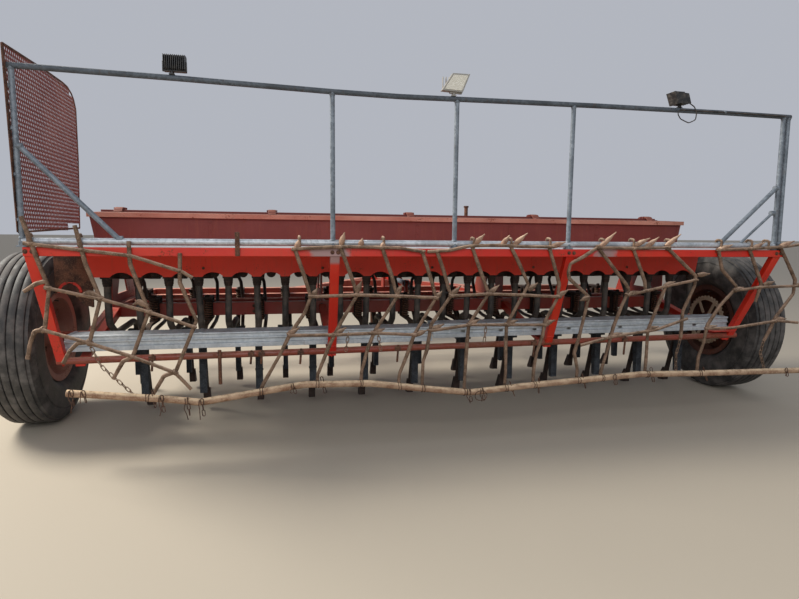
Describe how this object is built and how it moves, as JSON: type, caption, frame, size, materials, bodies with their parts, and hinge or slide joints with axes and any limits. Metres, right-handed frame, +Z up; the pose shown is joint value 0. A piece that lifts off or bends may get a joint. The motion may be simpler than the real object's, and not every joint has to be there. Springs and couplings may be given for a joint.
{
  "type": "trailed combine seed drill",
  "caption": "Wide trailed seed drill: lidded grain box over a spring-tine frame on two end wheels, rear walkway, guard rail and a hung zig-zag harrow.",
  "frame": {"origin": "on the ground under the middle of the whole machine's bounding box", "axes": "+X across the machine (the right-hand wheel in the picture), +Y forward to the hitch, +Z up from the ground"},
  "size_m": [5.28, 3.7911, 2.1063],
  "materials": {
    "rusty_steel": "matte",
    "red_paint": "satin",
    "faded_maroon_paint": "matte",
    "galvanised_steel": "satin",
    "tyre_rubber": "matte",
    "faded_rim_paint": "matte",
    "black_hose": "satin",
    "black_lamp": "matte",
    "grey_lamp": "satin"
  },
  "bodies": {
    "frame": {"main_frame": "rusty_steel", "drawbar": "rusty_steel", "box_stands": "rusty_steel", "hopper": "faded_maroon_paint", "ridge_strip": "faded_maroon_paint", "meter_cover": "red_paint", "seed_meters": "rusty_steel", "fertiliser_meters": "rusty_steel", "feed_shafts": "galvanised_steel", "seed_tubes": "black_hose", "fertiliser_tubes": "black_hose", "tines_rear": "rusty_steel", "tines_front": "rusty_steel", "jack_sleeve": "red_paint", "rear_gantry": "red_paint", "walkway": "galvanised_steel", "foot_board": "galvanised_steel", "guard_rail": "galvanised_steel", "end_guard": "faded_maroon_paint", "lamp_left": "black_lamp", "lamp_middle": "grey_lamp", "lamp_right": "black_lamp", "wheel_guard": "rusty_steel", "pipe_stub": "rusty_steel", "harrow_1": "rusty_steel", "harrow_2": "rusty_steel", "harrow_3": "rusty_steel", "harrow_4": "rusty_steel", "harrow_5": "rusty_steel", "drag_bar": "rusty_steel"},
    "lift": {"rockshaft": "rusty_steel"},
    "wheel_left": {"tyre_left": "tyre_rubber", "rim_left": "faded_rim_paint"},
    "wheel_right": {"tyre_right": "tyre_rubber", "rim_right": "faded_rim_paint"},
    "barrel": {"lift_barrel": "red_paint"},
    "rod": {"lift_rod": "galvanised_steel"},
    "lid_rear": {"lid_rear": "faded_maroon_paint"},
    "lid_front": {"lid_front": "faded_maroon_paint"},
    "jack_leg": {"jack_leg": "galvanised_steel"}
  },
  "joints": [
    {"name": "lift", "type": "hinge", "parent": "frame", "child": "lift", "pos_m": [0, -0.406, 0.665], "axis": [1, 0, 0], "range_deg": [-12, 12]},
    {"name": "wheel_left_turn", "type": "hinge", "parent": "lift", "child": "wheel_left", "pos_m": [-2.5, -1.006, 0.54], "axis": [1, 0, 0], "continuous": true},
    {"name": "wheel_right_turn", "type": "hinge", "parent": "lift", "child": "wheel_right", "pos_m": [2.5, -1.006, 0.54], "axis": [1, 0, 0], "continuous": true},
    {"name": "barrel_swing", "type": "hinge", "parent": "frame", "child": "barrel", "pos_m": [0, 0.334, 0.80989], "axis": [1, 0, 0], "range_deg": [-1, 1]},
    {"name": "rod_slide", "type": "slide", "parent": "barrel", "child": "rod", "axis": [0, 1, 0], "range_m": [-0.035, 0.035]},
    {"name": "lid_rear_open", "type": "hinge", "parent": "frame", "child": "lid_rear", "pos_m": [0, -0.523, 1.375], "axis": [-1, 0, 0], "range_deg": [0, 95]},
    {"name": "lid_front_open", "type": "hinge", "parent": "frame", "child": "lid_front", "pos_m": [0, -0.489, 1.375], "axis": [1, 0, 0], "range_deg": [0, 95]},
    {"name": "jack_slide", "type": "slide", "parent": "frame", "child": "jack_leg", "axis": [0, 0, 1], "range_m": [-0.1, 0.28]}
  ],
  "couplings": [
    {"joint": "rod_slide", "follows": "lift", "m_per_rad": -0.14489},
    {"joint": "barrel_swing", "follows": "lift", "ratio": 0.04985}
  ]
}
